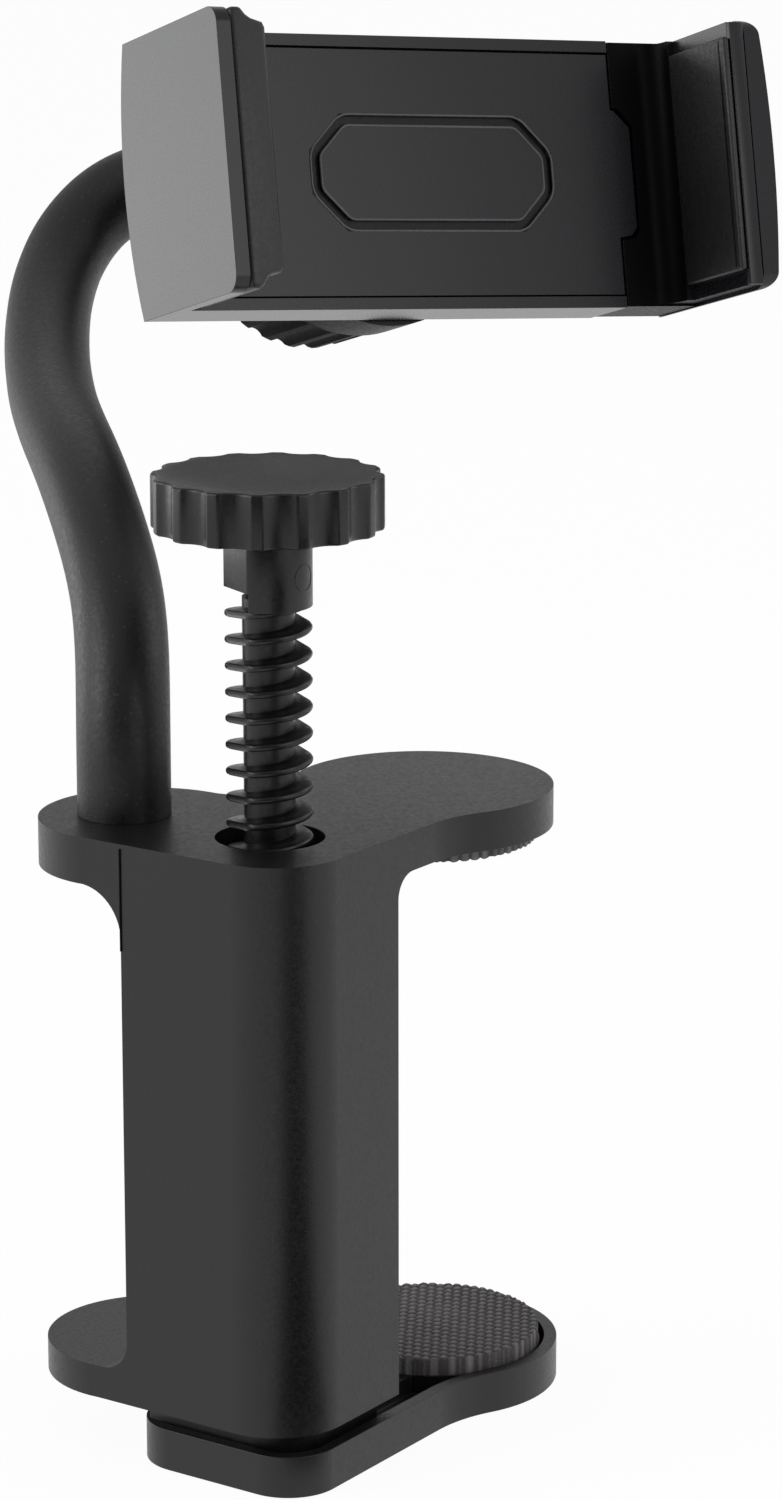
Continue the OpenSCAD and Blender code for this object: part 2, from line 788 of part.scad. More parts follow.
// Flat jaw wall with rounded tips
module jaw_wall(t, h) {
  cube([t, holder_h, h - tip_r]);
  translate([0, tip_r, 0])
    cube([t, holder_h - 2 * tip_r, h]);
  for (y = [tip_r, holder_h - tip_r])
    translate([0, y, h - tip_r])
      rotate([0, 90, 0])
        cylinder(r = tip_r, h = t);
}

// Eight-sided outline
module field_shape(inset, h) {
  a = field_l / 2 - inset;
  b = field_h / 2 - inset;
  c = 6.2 - inset * 0.59;
  translate([field_x, holder_h / 2, 0])
    linear_extrude(h)
      polygon([[-a, -b + c], [-a + c, -b], [a - c, -b], [a, -b + c],
        [a, b - c], [a - c, b], [-a + c, b], [-a, b - c]]);
}

module holder_front() {
  color([0.14, 0.14, 0.15])
    in_holder()
      difference() {
        union() {
          translate([fixed_wall + 0.4, 2.3, body_d - 2.6])
            cube([body_l - fixed_wall - 0.4, holder_h - 4.6, 2.3]);
          // Tongue that reaches into the slide's notch
          translate([body_l - 1, 0, body_d - 2.6])
            linear_extrude(2.3)
              polygon([[0, 12], [3.4, 12.6], [4.6, 14], [4.6, holder_h - 15], [1.6, holder_h - 12],
                [0, holder_h - 12]]);
          for (p = case_screw_at)
            translate([p[0], p[1], 3.2])
              cylinder(r = 2.6, h = body_d - 5.2);
        }
        difference() {
          translate([0, 0, body_d - 0.3 - groove_d])
            field_shape(0, 4);
          translate([0, 0, body_d - 4])
            field_shape(groove_w, 8);
        }
        for (p = case_screw_at)
          translate([p[0], p[1], 0])
            cylinder(r = 1.3, h = body_d - 2);
      }
}

module case_screws() {
  color([0.6, 0.6, 0.6])
    in_holder()
      for (p = case_screw_at)
        translate([p[0], p[1], -2.7])
          difference() {
            union() {
              cylinder(r = 2.6, h = 1.4);
              cylinder(r = 1.25, h = 10);
            }
            for (a = [0, 90])
              rotate([0, 0, a])
                translate([-1.5, -0.3, -1])
                  cube([3, 0.6, 1.9]);
          }
}

module fixed_jaw_pad() {
  color([0.08, 0.08, 0.08])
    in_holder()
      translate([fixed_wall + 0.1, 2.4, body_d - 0.2]) {
        difference() {
          union() {
            cube([fixed_pad_t - 1, holder_h - 4.6, jaw_d - body_d - 1.4]);
            translate([0, 1.8, 0])
              cube([fixed_pad_t - 1, holder_h - 8.2, jaw_d - body_d + 0.2]);
            translate([0, 0.8, 0])
              cube([fixed_pad_t, holder_h - 6.2, 1.5]);
            // Rounded lip along the tip
            translate([fixed_pad_t - 1.6, 0.8, jaw_d - body_d - 1.6])
              rotate([-90, 0, 0])
                cylinder(r = 1.6, h = holder_h - 6.2);
          }
          translate([-1, 6, -1])
            cube([fixed_pad_t - 1.6, holder_h - 16.6, jaw_d - body_d - 5]);
        }
      }
}

// Sliding jaw: base, inner frame and two rails
module slide_jaw() {
  color([0.14, 0.14, 0.15])
    in_holder()
      difference() {
        union() {
          translate([body_l + 0.3, 0, 0])
            body_profile(0.2, slide_face + slide_frame_t - body_l - 0.3, body_d - 0.1);
          translate([slide_face + slide_pad_t, 0, 0])
            translate([0, 0.6, body_d - 1])
              cube([slide_frame_t - slide_pad_t, holder_h - 1.2, jaw_d - body_d]);
          for (y = rail_y)
            translate([rail_start, y, rail_n])
              cube([body_l + 2 - rail_start, rail_w, rail_t]);
          translate([rail_start, rail_y[0] + 1, rail_n])
            cube([5, rail_y[1] - rail_y[0] + 6, rail_t]);
          // Hollow corner between the base and the wall
          difference() {
            translate([slide_face - jaw_fillet, 0.6, body_d - 1])
              cube([jaw_fillet + slide_pad_t + 0.5, holder_h - 1.2, jaw_fillet + 0.9]);
            translate([slide_face - jaw_fillet, 0, body_d - 0.1 + jaw_fillet])
              rotate([-90, 0, 0])
                cylinder(r = jaw_fillet, h = holder_h, $fn = 96);
          }
        }
        // Notch for the front cover's tongue
        translate([body_l, 0, body_d - 3])
          linear_extrude(6)
            polygon([[-1, 11.6], [3.1, 12], [4, 13.6], [4, holder_h - 14.6], [1.1, holder_h - 11.6],
              [-1, holder_h - 11.6]]);
        for (y = cover_screw_y)
          translate([slide_face - 3, y, cover_screw_n])
            rotate([0, 90, 0])
              cylinder(r = cover_screw_r + 0.08, h = 12);
      }
}

module slide_jaw_pad() {
  color([0.08, 0.08, 0.08])
    in_holder()
      translate([slide_face, 3.2, body_d + jaw_fillet]) {
        cube([slide_pad_t - 0.05, holder_h - 6.4, jaw_d - body_d - jaw_fillet - 1.1]);
        translate([0.7, 0, jaw_d - body_d - jaw_fillet - 1.6])
          rotate([-90, 0, 0])
            cylinder(r = 0.68, h = holder_h - 6.4, $fn = 24);
      }
}

// Bulged outer face of the cover, with rounded edges, drawn along the jaw's depth
module cover_bulge() {
  r = cover_edge_r;
  u = slide_cover_t - pow(holder_h / 2 - r, 2) / (2 * cover_bulge_r) - r;
  intersection() {
    translate([slide_cover_t - cover_bulge_r, holder_h / 2, -body_crown - 3])
      cylinder(r = cover_bulge_r, h = jaw_d + body_crown + 6, $fn = 180);
    union() {
      translate([-1, -1, -body_crown - 2])
        cube([u + 1, holder_h + 2, jaw_d + body_crown + 4]);
      translate([-1, r, -body_crown - 2])
        cube([slide_cover_t + 2, holder_h - 2 * r, jaw_d + body_crown + 4]);
      for (y = [r, holder_h - r])
        translate([u, y, -body_crown - 2])
          cylinder(r = r, h = jaw_d + body_crown + 4, $fn = 64);
    }
  }
}

module slide_jaw_cover() {
  color([0.14, 0.14, 0.15])
    in_holder()
      translate([slide_face + slide_frame_t + 0.1, 0, 0])
        difference() {
          intersection() {
            union() {
              body_profile(0, slide_cover_t, body_d);
              translate([0, 0, body_d - 1])
                jaw_wall(slide_cover_t, jaw_d - body_d + 1);
            }
            cover_bulge();
          }
          for (y = cover_screw_y)
            translate([-1, y, cover_screw_n])
              rotate([0, 90, 0])
                cylinder(r = cover_screw_r + 0.03, h = slide_cover_t - 1.2);
        }
}

// Two screws join the sliding jaw's frame and its cover, below the pad
module cover_screws() {
  color([0.6, 0.6, 0.6])
    in_holder()
      for (y = cover_screw_y)
        translate([slide_face + slide_pad_t + 0.02, y, cover_screw_n])
          rotate([0, 90, 0])
            cylinder(r = cover_screw_r, h = slide_frame_t - slide_pad_t + slide_cover_t - 2.5);
}

// Plate inside the body that keeps the rails in place
module guide_plate() {
  color([0.2, 0.2, 0.2])
    in_holder()
      difference() {
        translate([guide_x, 3.7, rail_n + rail_t + gap])
          cube([guide_l, holder_h - 7.4, 2]);
        for (p = case_screw_at)
          translate([p[0], p[1], 0])
            cylinder(r = 3, h = 12);
      }
}

// Pull spring between the body and the slide
module jaw_spring() {
  color([0.75, 0.75, 0.75])
    in_holder()
      translate([post_x + 1.8, holder_h / 2, rail_n + rail_t / 2])
        rotate([0, 90, 0])
          spring_coil(rail_t / 2, rail_t * 0.11, 12, rail_start - post_x - 2.2, 12, 5);
}

// Coil along +Z
module spring_coil(r, wire, turns, len, seg, sides) {
  n = turns * seg;
  pts = [for (i = [0 : n]) for (k = [0 : sides - 1])
    let (a = 360 * i / seg, c = 360 * k / sides)
      [(r + wire * cos(c)) * cos(a), (r + wire * cos(c)) * sin(a), len * i / n + wire * sin(c)]];
  faces = concat(
    [[for (k = [0 : sides - 1]) k]],
    [for (i = [0 : n - 1]) for (k = [0 : sides - 1])
      [sides * i + k, sides * (i + 1) + k, sides * i + (k + 1) % sides]],
    [for (i = [0 : n - 1]) for (k = [0 : sides - 1])
      [sides * (i + 1) + k, sides * (i + 1) + (k + 1) % sides, sides * i + (k + 1) % sides]],
    [[for (k = [0 : sides - 1]) sides * n + sides - 1 - k]]);
  polyhedron(points = pts, faces = faces, convexity = 12);
}

clamp_body();
upper_pad();
thread_nut();
nut_screws();
clamp_screw();
lower_jaw();
lower_pad();
retainer_washer();
retainer_screw();
neck_base_ferrule();
neck_base_washer();
neck_base_screw();
neck_core();
neck_sleeve();
neck_top_ferrule();
ball_stud();
seat_ring();
ball_nut();
holder_back();
holder_front();
case_screws();
fixed_jaw_pad();
slide_jaw();
slide_jaw_pad();
slide_jaw_cover();
cover_screws();
guide_plate();
jaw_spring();
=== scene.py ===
import bpy, bmesh, json, math
from mathutils import Matrix, Vector, noise

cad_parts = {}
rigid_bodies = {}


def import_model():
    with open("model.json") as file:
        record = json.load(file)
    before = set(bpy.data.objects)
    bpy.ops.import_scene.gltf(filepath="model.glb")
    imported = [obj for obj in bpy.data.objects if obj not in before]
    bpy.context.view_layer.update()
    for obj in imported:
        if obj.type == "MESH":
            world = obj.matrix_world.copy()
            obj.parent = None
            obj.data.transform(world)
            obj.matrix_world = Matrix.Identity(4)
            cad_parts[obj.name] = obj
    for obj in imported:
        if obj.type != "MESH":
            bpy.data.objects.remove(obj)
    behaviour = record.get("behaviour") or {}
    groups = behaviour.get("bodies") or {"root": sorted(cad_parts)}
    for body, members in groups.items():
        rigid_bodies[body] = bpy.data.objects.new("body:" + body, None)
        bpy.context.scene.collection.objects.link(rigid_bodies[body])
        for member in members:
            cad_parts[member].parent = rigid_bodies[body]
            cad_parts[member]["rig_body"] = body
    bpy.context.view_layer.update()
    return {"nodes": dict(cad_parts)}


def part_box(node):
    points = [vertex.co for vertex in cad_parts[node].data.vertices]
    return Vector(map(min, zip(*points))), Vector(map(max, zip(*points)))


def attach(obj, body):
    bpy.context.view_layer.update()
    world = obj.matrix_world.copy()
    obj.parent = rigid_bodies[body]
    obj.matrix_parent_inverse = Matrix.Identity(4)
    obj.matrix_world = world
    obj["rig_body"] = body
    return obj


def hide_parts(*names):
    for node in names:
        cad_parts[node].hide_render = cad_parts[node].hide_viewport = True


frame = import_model()

# Camera
# It stands to the front left of the holder and slightly above it, with a long lens. Its place was
# solved from the screw, the column's edges and the outline of the top plate.
camera_right = Vector((0.56814, -0.82293, -0.00111))
camera_up = Vector((0.19872, 0.13588, 0.97059))
camera_ahead = Vector((0.79858, 0.55166, -0.24073))
bpy.ops.object.camera_add(location=(-0.584123, -0.426408, 0.294866))
camera = bpy.context.object
camera_turn = Matrix((camera_right, camera_up, -camera_ahead)).transposed().to_4x4()
camera.matrix_world = Matrix.Translation(camera.location) @ camera_turn
camera.data.lens = 115.365
camera.data.sensor_width = 36
camera.data.clip_start = 0.01
bpy.context.scene.camera = camera

# Clamp body
# The clamp's frame: a square column with its top plate, the upper jaw and the lug of the neck.
# It is moulded in one piece from black nylon, so its edges are slightly rounded and its
# faces have a fine matt grain.
def moulded_plastic(name, tone, rough, grain=1500, bump=0.3, mottle=0.12, specks=0.0, speck_size=900,
                    gloss=0.5, wear=0.07):
    """A moulded plastic or rubber: one tone, faintly cloudy, with the mould's grain and pale specks."""
    plastic = bpy.data.materials.new(name)
    plastic.use_nodes = True
    tree = plastic.node_tree
    add, link = tree.nodes.new, tree.links.new
    shader = tree.nodes["Principled BSDF"]
    shader.inputs["Specular IOR Level"].default_value = gloss
    place = add("ShaderNodeTexCoord").outputs["Object"]
    # Slow changes of tone over the moulding
    cloudy = add("ShaderNodeTexNoise")
    cloudy.inputs["Scale"].default_value = 70
    cloudy.inputs["Detail"].default_value = 6
    link(place, cloudy.inputs["Vector"])
    tones = add("ShaderNodeValToRGB")
    tones.color_ramp.elements[0].position = 0.3
    tones.color_ramp.elements[1].position = 0.72
    tones.color_ramp.elements[0].color = (*[c * (1 - mottle) for c in tone], 1)
    tones.color_ramp.elements[1].color = (*[c * (1 + mottle) for c in tone], 1)
    link(cloudy.outputs["Fac"], tones.inputs["Fac"])
    colour = tones.outputs["Color"]
    if specks:
        # Small pale specks of dust and filler
        dust = add("ShaderNodeTexVoronoi")
        dust.inputs["Scale"].default_value = speck_size
        link(place, dust.inputs["Vector"])
        near = add("ShaderNodeMapRange")
        near.inputs["From Min"].default_value = 0.2
        near.inputs["From Max"].default_value = 0.06
        near.inputs["To Max"].default_value = specks
        link(dust.outputs["Distance"], near.inputs["Value"])
        patchy = add("ShaderNodeMath")
        patchy.operation = "MULTIPLY"
        link(near.outputs["Result"], patchy.inputs[0])
        link(cloudy.outputs["Fac"], patchy.inputs[1])
        dusty = add("ShaderNodeMixRGB")
        dusty.inputs["Color2"].default_value = (*[min(1, c * 4 + 0.03) for c in tone], 1)
        link(patchy.outputs[0], dusty.inputs["Fac"])
        link(colour, dusty.inputs["Color1"])
        colour = dusty.outputs["Color"]
    link(colour, shader.inputs["Base Color"])
    # Fine grain of the mould, in the roughness and as small dents
    grainy = add("ShaderNodeTexNoise")
    grainy.inputs["Scale"].default_value = grain
    grainy.inputs["Detail"].default_value = 3
    grainy.inputs["Roughness"].default_value = 0.6
    link(place, grainy.inputs["Vector"])
    worn = add("ShaderNodeMapRange")
    worn.inputs["From Min"].default_value = 0.3
    worn.inputs["From Max"].default_value = 0.7
    worn.inputs["To Min"].default_value = rough - wear
    worn.inputs["To Max"].default_value = rough + wear
    link(grainy.outputs["Fac"], worn.inputs["Value"])
    link(worn.outputs["Result"], shader.inputs["Roughness"])
    dents = add("ShaderNodeBump")
    dents.inputs["Strength"].default_value = bump
    dents.inputs["Distance"].default_value = 0.0002
    link(grainy.outputs["Fac"], dents.inputs["Height"])
    link(dents.outputs["Normal"], shader.inputs["Normal"])
    return plastic


def settle(piece, node, material, replace=True):
    """Gives a finished piece its material and joins it to the body of its CAD node."""
    piece.data.materials.clear()
    piece.data.materials.append(material)
    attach(piece, frame["nodes"][node]["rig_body"])
    if replace:
        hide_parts(node)


def second_finish(piece, material, chosen):
    """Gives the chosen faces of a finished piece a material of their own."""
    piece.data.materials.append(material)
    for f in piece.data.polygons:
        if chosen(f):
            f.material_index = 1


def rounded_moulding(node, material, radius_at, segments=3, smooth=38):
    """A copy of a CAD solid with its sharp edges rounded; radius_at gives the radius at an edge's middle."""
    merge_within, flat_within, sharp_from = 1e-6, math.radians(0.6), math.radians(28)
    bpy.ops.object.select_all(action="DESELECT")
    piece = bpy.data.objects.new(node + "_moulding", frame["nodes"][node].data.copy())
    bpy.context.scene.collection.objects.link(piece)
    bpy.context.view_layer.objects.active = piece
    piece.select_set(True)
    bpy.ops.object.mode_set(mode="EDIT")
    bpy.ops.mesh.select_all(action="SELECT")
    bpy.ops.mesh.remove_doubles(threshold=merge_within)
    bpy.ops.mesh.dissolve_limited(angle_limit=flat_within)
    bpy.ops.object.mode_set(mode="OBJECT")
    # Each sharp edge's weight is its share of the widest radius
    widest = 0.002
    edges = bmesh.new()
    edges.from_mesh(piece.data)
    weight = edges.edges.layers.float.new("bevel_weight_edge")
    for e in edges.edges:
        if len(e.link_faces) == 2 and e.calc_face_angle() > sharp_from:
            e[weight] = radius_at((e.verts[0].co + e.verts[1].co) / 2) / widest
    edges.to_mesh(piece.data)
    edges.free()
    rounding = piece.modifiers.new("rounding", "BEVEL")
    rounding.limit_method = "WEIGHT"
    rounding.width = widest
    rounding.segments = segments
    bpy.ops.object.modifier_apply(modifier="rounding")
    bpy.ops.object.shade_smooth_by_angle(angle=math.radians(smooth))
    # The flat faces keep their own normals, and only the roundings blend
    even = piece.modifiers.new("even", "WEIGHTED_NORMAL")
    even.keep_sharp = True
    bpy.ops.object.modifier_apply(modifier="even")
    settle(piece, node, material)
    return piece


clamp_black = moulded_plastic("clamp_black", (0.0045, 0.0045, 0.0052), 0.39, bump=0.12, specks=0.25,
                              gloss=0.47)
column_low, column_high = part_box("clamp_body")
plate_h, plate_edge, column_edge = 0.007, 0.0006, 0.0005
rounded_moulding("clamp_body", clamp_black,
                 lambda p: plate_edge if p.z > column_high.z - plate_h else column_edge)

# A fine dark line runs where the mould's side core met the lug: a thin matt strip, painted shade of the fine
# groove there
seam_painted_shade = moulded_plastic("seam_painted_shade", (0.003, 0.003, 0.003), 0.8, gloss=0.1)
seam_y, seam_foot, seam_top = 0.0164, 0.0845, column_high.z - 0.0007
seam_r, seam_edge = 0.00016, 0.00006
bpy.ops.object.select_all(action="DESELECT")
bpy.ops.mesh.primitive_cylinder_add(vertices=12, radius=seam_r, depth=seam_top - seam_foot)
seam = bpy.context.object
seam.name = "mould_seam"
seam.data.transform(Matrix.Translation((column_low.x, seam_y, (seam_top + seam_foot) / 2)))
bpy.ops.object.mode_set(mode="EDIT")
bpy.ops.mesh.select_all(action="SELECT")
bpy.ops.mesh.bevel(offset=seam_edge, segments=2)
bpy.ops.object.mode_set(mode="OBJECT")
bpy.ops.object.shade_smooth_by_angle(angle=math.radians(40))
settle(seam, "clamp_body", seam_painted_shade, replace=False)

# Lower jaw
# A tray with a raised rim that carries the lower pad; its stem slides inside the column.
# It is moulded from the same black nylon.
tray_edge = 0.0005
rounded_moulding("lower_jaw", clamp_black, lambda p: tray_edge)

# Jaw pads
# Two round pads of dark rubber, pressed into the jaws. Their faces have a woven field of
# small lozenge-shaped bumps, with painted highlights on their tips; their sides are smooth.
pad_brown = moulded_plastic("pad_brown", (0.055, 0.05, 0.05), 0.75, grain=2200, bump=0.8, mottle=0.3,
                            specks=0.8, speck_size=1400, gloss=0.3)
# The bumps' tips are mixed towards a pale tone: painted highlights
tree = pad_brown.node_tree
skin = tree.nodes["Principled BSDF"].inputs["Base Color"]
tip_highlight_share = tree.nodes.new("ShaderNodeAttribute")
tip_highlight_share.attribute_name = "tips"
worn_tips = tree.nodes.new("ShaderNodeMixRGB")
worn_tips.inputs["Color2"].default_value = (0.19, 0.182, 0.182, 1)
tree.links.new(tip_highlight_share.outputs["Fac"], worn_tips.inputs["Fac"])
tree.links.new(skin.links[0].from_socket, worn_tips.inputs["Color1"])
tree.links.new(worn_tips.outputs["Color"], skin)


def woven_pad(node, cells, face_up):
    """A round pad whose face, a fine grid of cells, is lifted into the woven bumps."""
    low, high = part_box(node)
    centre = (low + high) / 2
    radius, thick = (high.x - low.x) / 2, high.z - low.z
    cut_r, rim_r, shoulder, side_swell = radius - 0.0001, radius - 0.00012, 0.0004, 1.004
    bpy.ops.object.select_all(action="DESELECT")
    bpy.ops.mesh.primitive_grid_add(x_subdivisions=cells, y_subdivisions=cells, size=2 * radius)
    pad = bpy.context.object
    pad.name = node + "_woven"
    bpy.ops.object.mode_set(mode="EDIT")
    bpy.ops.mesh.select_all(action="DESELECT")
    bpy.ops.object.mode_set(mode="OBJECT")
    for v in pad.data.vertices:
        v.select = v.co.length > cut_r
    bpy.ops.object.mode_set(mode="EDIT")
    bpy.ops.mesh.delete(type="VERT")
    # Bumps in slanted rows, every second row set half a bump along
    pitch, squeeze, row_slant, bump_slant = 0.00172, 0.92, 0.18, 0.12
    narrow, short, flank, crown, depth = 1.7, 1.75, 2.2, 0.7, 0.0006
    ragged_fine, ragged_depth, ragged_light = 2300, 0.00007, 0.5
    tip_light_from, tip_light_gain = 0.45, 1.6
    bpy.ops.mesh.select_all(action="SELECT")
    bpy.ops.mesh.region_to_loop()
    bpy.ops.object.mode_set(mode="OBJECT")
    tips = pad.data.attributes.new("tips", "FLOAT", "POINT")
    for v in pad.data.vertices:
        if v.select:
            v.co = v.co.normalized() * rim_r
        x, y = v.co.x, v.co.y
        p, q = (x + row_slant * y) / pitch, (y - bump_slant * x) / (pitch * squeeze)
        q += 0.5 * (math.floor(p) % 2)
        a, b = p - math.floor(p) - 0.5, q - math.floor(q) - 0.5
        bump = max(0.0, 1 - abs(narrow * a) ** flank) * max(0.0, 1 - abs(short * b) ** flank)
        ragged = noise.noise(Vector((x, y, 0)) * ragged_fine)
        v.co.z = depth * (bump ** crown - 1) + ragged_depth * (ragged - 1)
        # The tops of the bumps, patchy with the same noise, take the painted highlight
        tip_light = (bump - tip_light_from) * tip_light_gain + ragged_light * ragged
        tips.data[v.index].value = max(0.0, min(1.0, tip_light))
    # Shoulder, side and back
    bpy.ops.object.mode_set(mode="EDIT")
    bpy.ops.mesh.extrude_region_move(TRANSFORM_OT_translate={"value": (0, 0, -shoulder)})
    bpy.ops.transform.resize(value=(side_swell, side_swell, 1), center_override=(0, 0, 0))
    bpy.ops.mesh.extrude_region_move(TRANSFORM_OT_translate={"value": (0, 0, -shoulder)})
    bpy.ops.object.mode_set(mode="OBJECT")
    for v in pad.data.vertices:
        if v.select:
            v.co.z = -thick
    bpy.ops.object.mode_set(mode="EDIT")
    bpy.ops.mesh.edge_face_add()
    bpy.ops.mesh.select_all(action="SELECT")
    bpy.ops.mesh.normals_make_consistent(inside=False)
    bpy.ops.object.mode_set(mode="OBJECT")
    turn_over = Matrix.Identity(4) if face_up else Matrix.Rotation(math.pi, 4, "X")
    pad.data.transform(Matrix.Translation((centre.x, centre.y, high.z if face_up else low.z)) @ turn_over)
    bpy.ops.object.shade_smooth_by_angle(angle=math.radians(50))
    settle(pad, node, pad_brown)


woven_pad("lower_pad", 220, True)
woven_pad("upper_pad", 160, False)

# Screw
# The hand knob and its coarse screw are one moulding. The knob is a disc with sixteen narrow
# ribs round its edge and a smooth dish in its top, and its shank has two flats from the mould.
screw_black = moulded_plastic("screw_black", (0.005, 0.005, 0.0055), 0.34, grain=1300, bump=0.12, mottle=0.15,
                              specks=0.4, gloss=0.42)
foot_low, knob_top = [corner.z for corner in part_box("clamp_screw")]
knob_h, knob_r, ribs, first_rib = 0.0086, 0.018, 16, math.radians(8.5)
hollow_r, hollow_deep, edge_r = 0.0046, 0.00098, 0.0005
dish_r, dish_deep, dish_rim = 0.0156, 0.0015, 0.0001
knob_under = knob_top - knob_h


def knob_reach(angle):
    """Distance from the axis to the knob's edge: a circle with hollows, softly blended at the ribs."""
    off = ((angle - first_rib) / (math.tau / ribs) % 1 - 0.5) * math.tau / ribs
    away = knob_r - hollow_deep + hollow_r
    side = away * math.sin(off)
    hollow = away * math.cos(off) - math.sqrt(max(0, hollow_r ** 2 - side ** 2))
    if abs(side) > hollow_r:
        hollow = away
    blend, most = 0.00005, 40
    return knob_r - blend * math.log(1 + math.exp(min(most, (knob_r - hollow) / blend)))


def move_edge(inwards, z):
    """Moves the knob's selected outline to a height, inwards of its edge."""
    for v in knob.data.vertices:
        if v.select:
            angle = math.atan2(v.co.y, v.co.x)
            reach = knob_reach(angle) - inwards
            v.co = (reach * math.cos(angle), reach * math.sin(angle), z)


bpy.ops.object.select_all(action="DESELECT")
bpy.ops.mesh.primitive_circle_add(vertices=ribs * 32, radius=knob_r, fill_type="NGON")
knob = bpy.context.object
knob.name = "clamp_screw_moulding"
move_edge(edge_r, knob_under)
bpy.ops.object.mode_set(mode="EDIT")
bpy.ops.mesh.select_all(action="SELECT")
# Up the side, with both edges rounded in four steps
steps = [(math.sin(math.pi / 8 * n), 1 - math.cos(math.pi / 8 * n)) for n in range(5)]
levels = [(knob_under + edge_r * z, edge_r * (1 - r)) for r, z in steps[1:]]
levels += [(knob_top - edge_r * z, edge_r * (1 - r)) for r, z in steps[::-1]]
for z, inwards in levels:
    bpy.ops.mesh.extrude_region_move(TRANSFORM_OT_translate={"value": (0, 0, 0)})
    bpy.ops.object.mode_set(mode="OBJECT")
    move_edge(inwards, z)
    bpy.ops.object.mode_set(mode="EDIT")
# The dish, in rings that become round and sink towards the middle
rings = 14
for n in range(rings + 1):
    bpy.ops.mesh.extrude_region_move(TRANSFORM_OT_translate={"value": (0, 0, 0)})
    bpy.ops.object.mode_set(mode="OBJECT")
    share = 1 - n / (rings + 1)
    for v in knob.data.vertices:
        if v.select:
            flat = Vector((v.co.x, v.co.y, 0)).normalized() * dish_r * share
            v.co = (flat.x, flat.y, knob_top - dish_rim - (dish_deep - dish_rim) * (1 - share ** 2))
    bpy.ops.object.mode_set(mode="EDIT")
bpy.ops.mesh.merge(type="CENTER")
bpy.ops.mesh.select_all(action="SELECT")
bpy.ops.mesh.normals_make_consistent(inside=False)
bpy.ops.object.mode_set(mode="OBJECT")

# Shank: a cylinder with two long flats and, at the foot of one, a notch down to the core
shank_r, flat_at, flat_dir, shank_foot = 0.00687, 0.00578, math.radians(156), 0.1386
shank_edge, into_knob = 0.00018, 0.0006
shank_h = knob_under + into_knob - shank_foot
bpy.ops.object.select_all(action="DESELECT")
bpy.ops.mesh.primitive_cylinder_add(vertices=96, radius=shank_r, depth=shank_h,
                                    location=(0, 0, shank_foot + shank_h / 2))
shank = bpy.context.object
bpy.ops.object.transform_apply(location=True)
flat_way = Vector((math.cos(flat_dir), math.sin(flat_dir), 0))
bpy.ops.object.mode_set(mode="EDIT")
for way in (flat_way, -flat_way):
    bpy.ops.mesh.select_all(action="SELECT")
    bpy.ops.mesh.bisect(plane_co=way * flat_at, plane_no=way, clear_outer=True, use_fill=True)
bpy.ops.object.mode_set(mode="OBJECT")
notch_middle = Vector((0.005, -0.0022, shank_foot))
notch_deep, notch_wide, notch_h = 0.0094, 0.0119, 0.0029
notch_place = Matrix.Rotation(flat_dir, 4, "Z") @ Matrix.Translation(notch_middle)
bpy.ops.object.select_all(action="DESELECT")
bpy.ops.mesh.primitive_cube_add(size=1)
notch = bpy.context.object
notch.data.transform(notch_place @ Matrix.Diagonal((notch_deep, notch_wide, 2 * notch_h, 1)))
cut = shank.modifiers.new("notch", "BOOLEAN")
cut.operation = "DIFFERENCE"
cut.object = notch
bpy.ops.object.select_all(action="DESELECT")
bpy.context.view_layer.objects.active = shank
shank.select_set(True)
bpy.ops.object.modifier_apply(modifier="notch")
bpy.data.objects.remove(notch)


def round_edges(piece, radius, segments, sharper_than):
    """Rounds the edges of the active piece that are sharper than an angle in degrees."""
    rounding = piece.modifiers.new("rounding", "BEVEL")
    rounding.width = radius
    rounding.segments = segments
    rounding.limit_method = "ANGLE"
    rounding.angle_limit = math.radians(sharper_than)
    bpy.ops.object.modifier_apply(modifier="rounding")


round_edges(shank, shank_edge, 2, 25)

# Round mark of a pin of the mould, wrapped round the shank
mark_r, mark_line, mark_x, mark_z = 0.0021, 0.00008, 0.00008, 0.1436
bpy.ops.object.select_all(action="DESELECT")
bpy.ops.mesh.primitive_torus_add(major_radius=mark_r, minor_radius=mark_line, major_segments=64,
                                 minor_segments=8)
mark = bpy.context.object
mark.data.transform(Matrix.Translation((mark_x, 0, mark_z)) @ Matrix.Rotation(math.pi / 2, 4, "X"))
for v in mark.data.vertices:
    v.co.y -= math.sqrt(shank_r ** 2 - v.co.x ** 2)

# Thread: one rounded ridge swept up the core. The ridge's section is given as its radius and
# height in millimetres, from its lower root to its crest, and is the same above.
pitch, turns, thread_foot, phase = 0.00418, 17, 0.0682, math.radians(286.9)
ridge = ((3.7, -1.0), (4.15, -0.93), (4.5, -0.74), (5.3, -0.66), (6.3, -0.56), (6.62, -0.48), (6.78, -0.3),
         (6.83, 0))
ridge += tuple((r, -z) for r, z in ridge[-2::-1])
bpy.ops.object.select_all(action="DESELECT")
bpy.ops.mesh.primitive_circle_add(vertices=len(ridge), radius=0.001)
thread = bpy.context.object
for v, (r, z) in zip(thread.data.vertices, ridge):
    v.co = (r / 1000, 0, z / 1000)
thread.data.transform(Matrix.Translation((0, 0, thread_foot)) @ Matrix.Rotation(phase, 4, "Z"))
sweep = thread.modifiers.new("sweep", "SCREW")
sweep.axis = "Z"
sweep.angle = math.tau
sweep.screw_offset = pitch
sweep.iterations = turns
sweep.steps = sweep.render_steps = 72
bpy.ops.object.modifier_apply(modifier="sweep")
